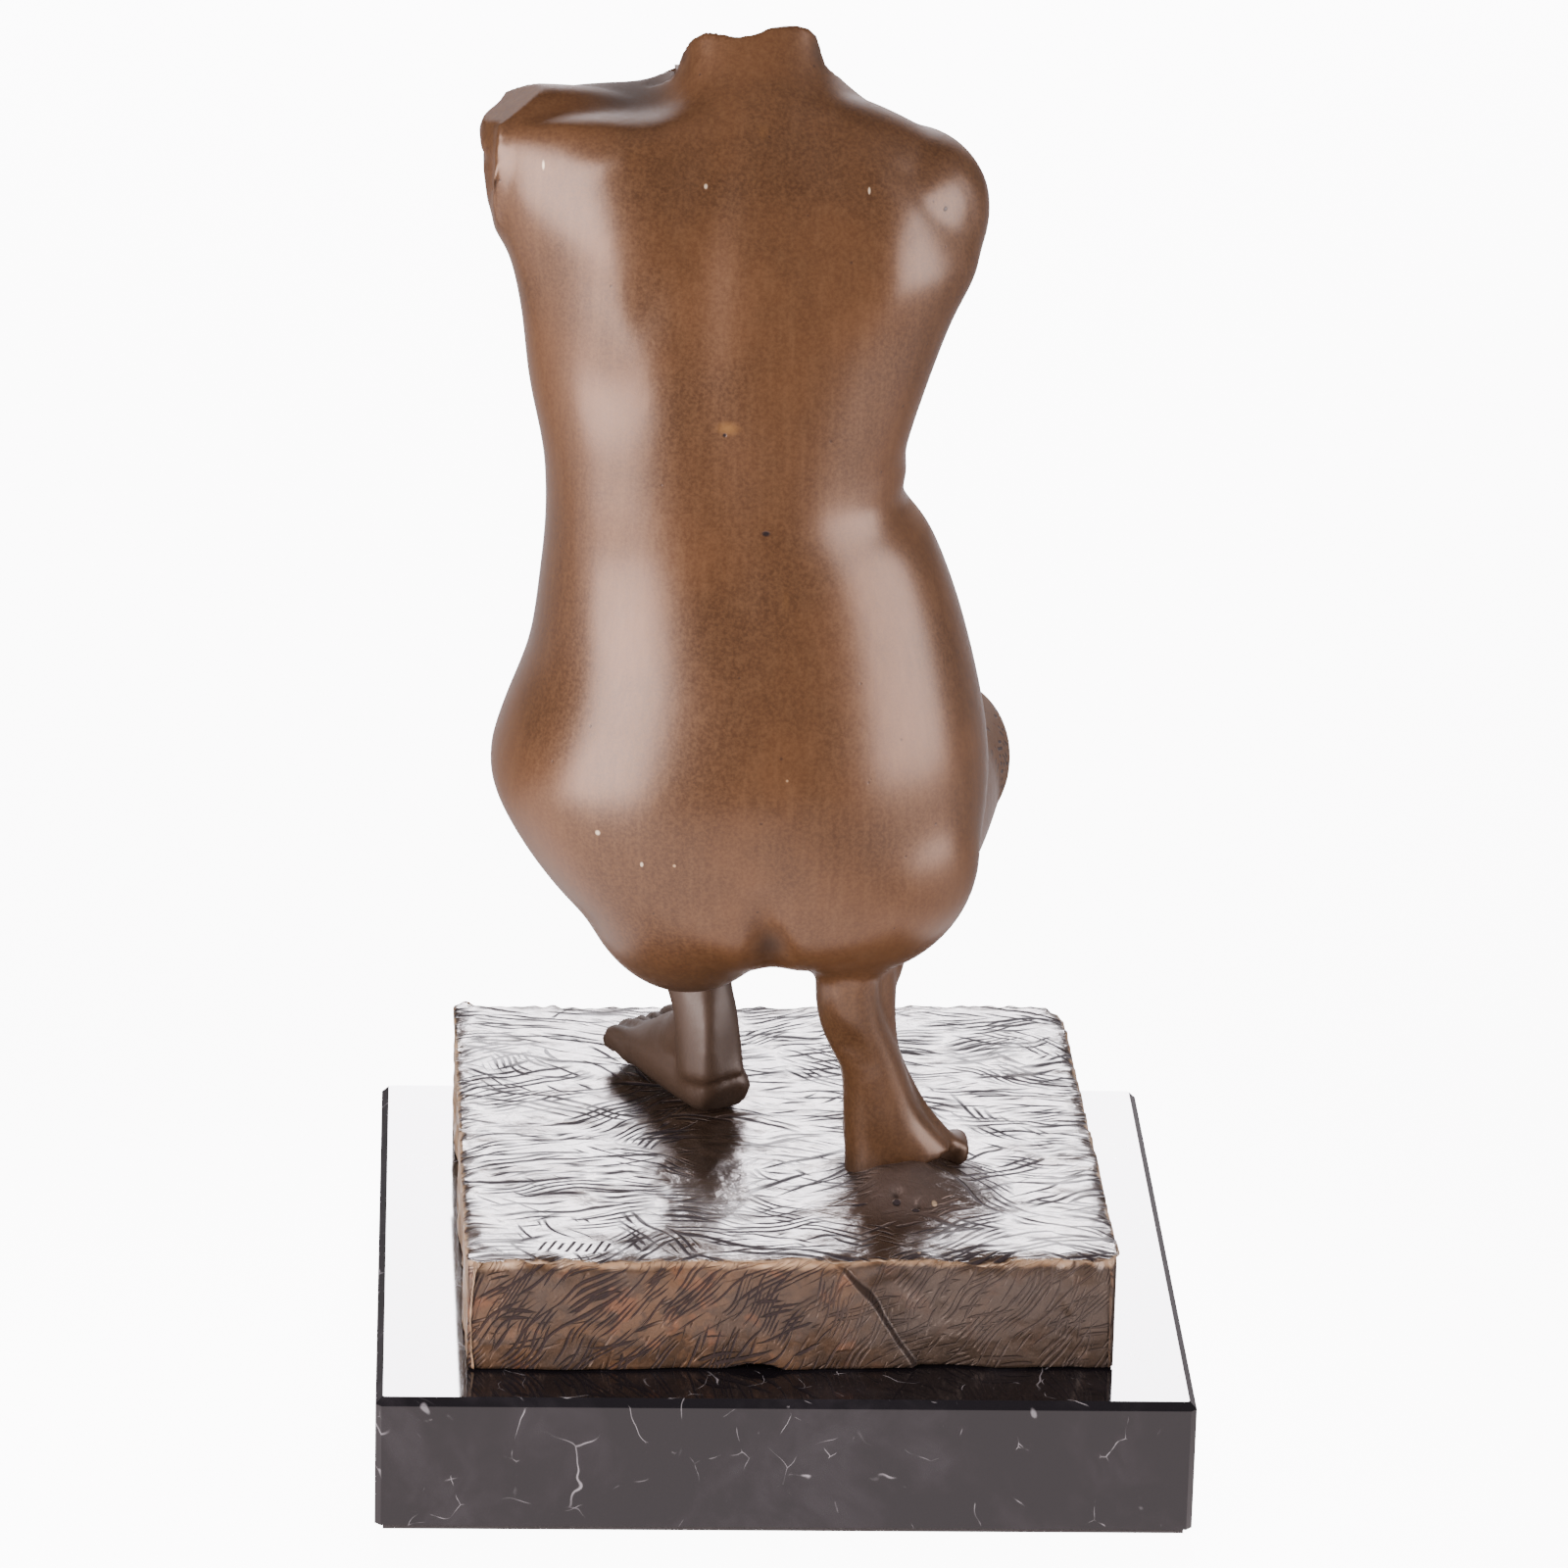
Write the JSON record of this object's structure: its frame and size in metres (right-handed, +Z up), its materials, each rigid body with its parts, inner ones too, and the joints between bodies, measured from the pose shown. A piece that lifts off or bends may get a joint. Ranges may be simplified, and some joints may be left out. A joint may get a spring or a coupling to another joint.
{
  "type": "bronze torso sculpture",
  "caption": "Small bronze of a headless, armless crouching nude seen from behind, on a rough bronze slab and a black marble plinth.",
  "frame": {"origin": "middle of the square underside, on the surface the piece stands on", "axes": "+Z up; +Y is the way the figure faces, so its back is toward -Y; +X is to the right when its back is looked at"},
  "size_m": [0.12, 0.12, 0.2128],
  "materials": {
    "brown_bronze": "waxed brown patina on cast bronze",
    "dark_bronze": "dark patina, scratched and rubbed at the edges",
    "black_marble": "polished, thin white veins",
    "black_felt": "thin pressed felt"
  },
  "bodies": {
    "root": {"torso_figure": "brown_bronze", "ground_slab": "dark_bronze", "marble_plinth": "black_marble", "felt_pad": "black_felt"}
  },
  "joints": []
}
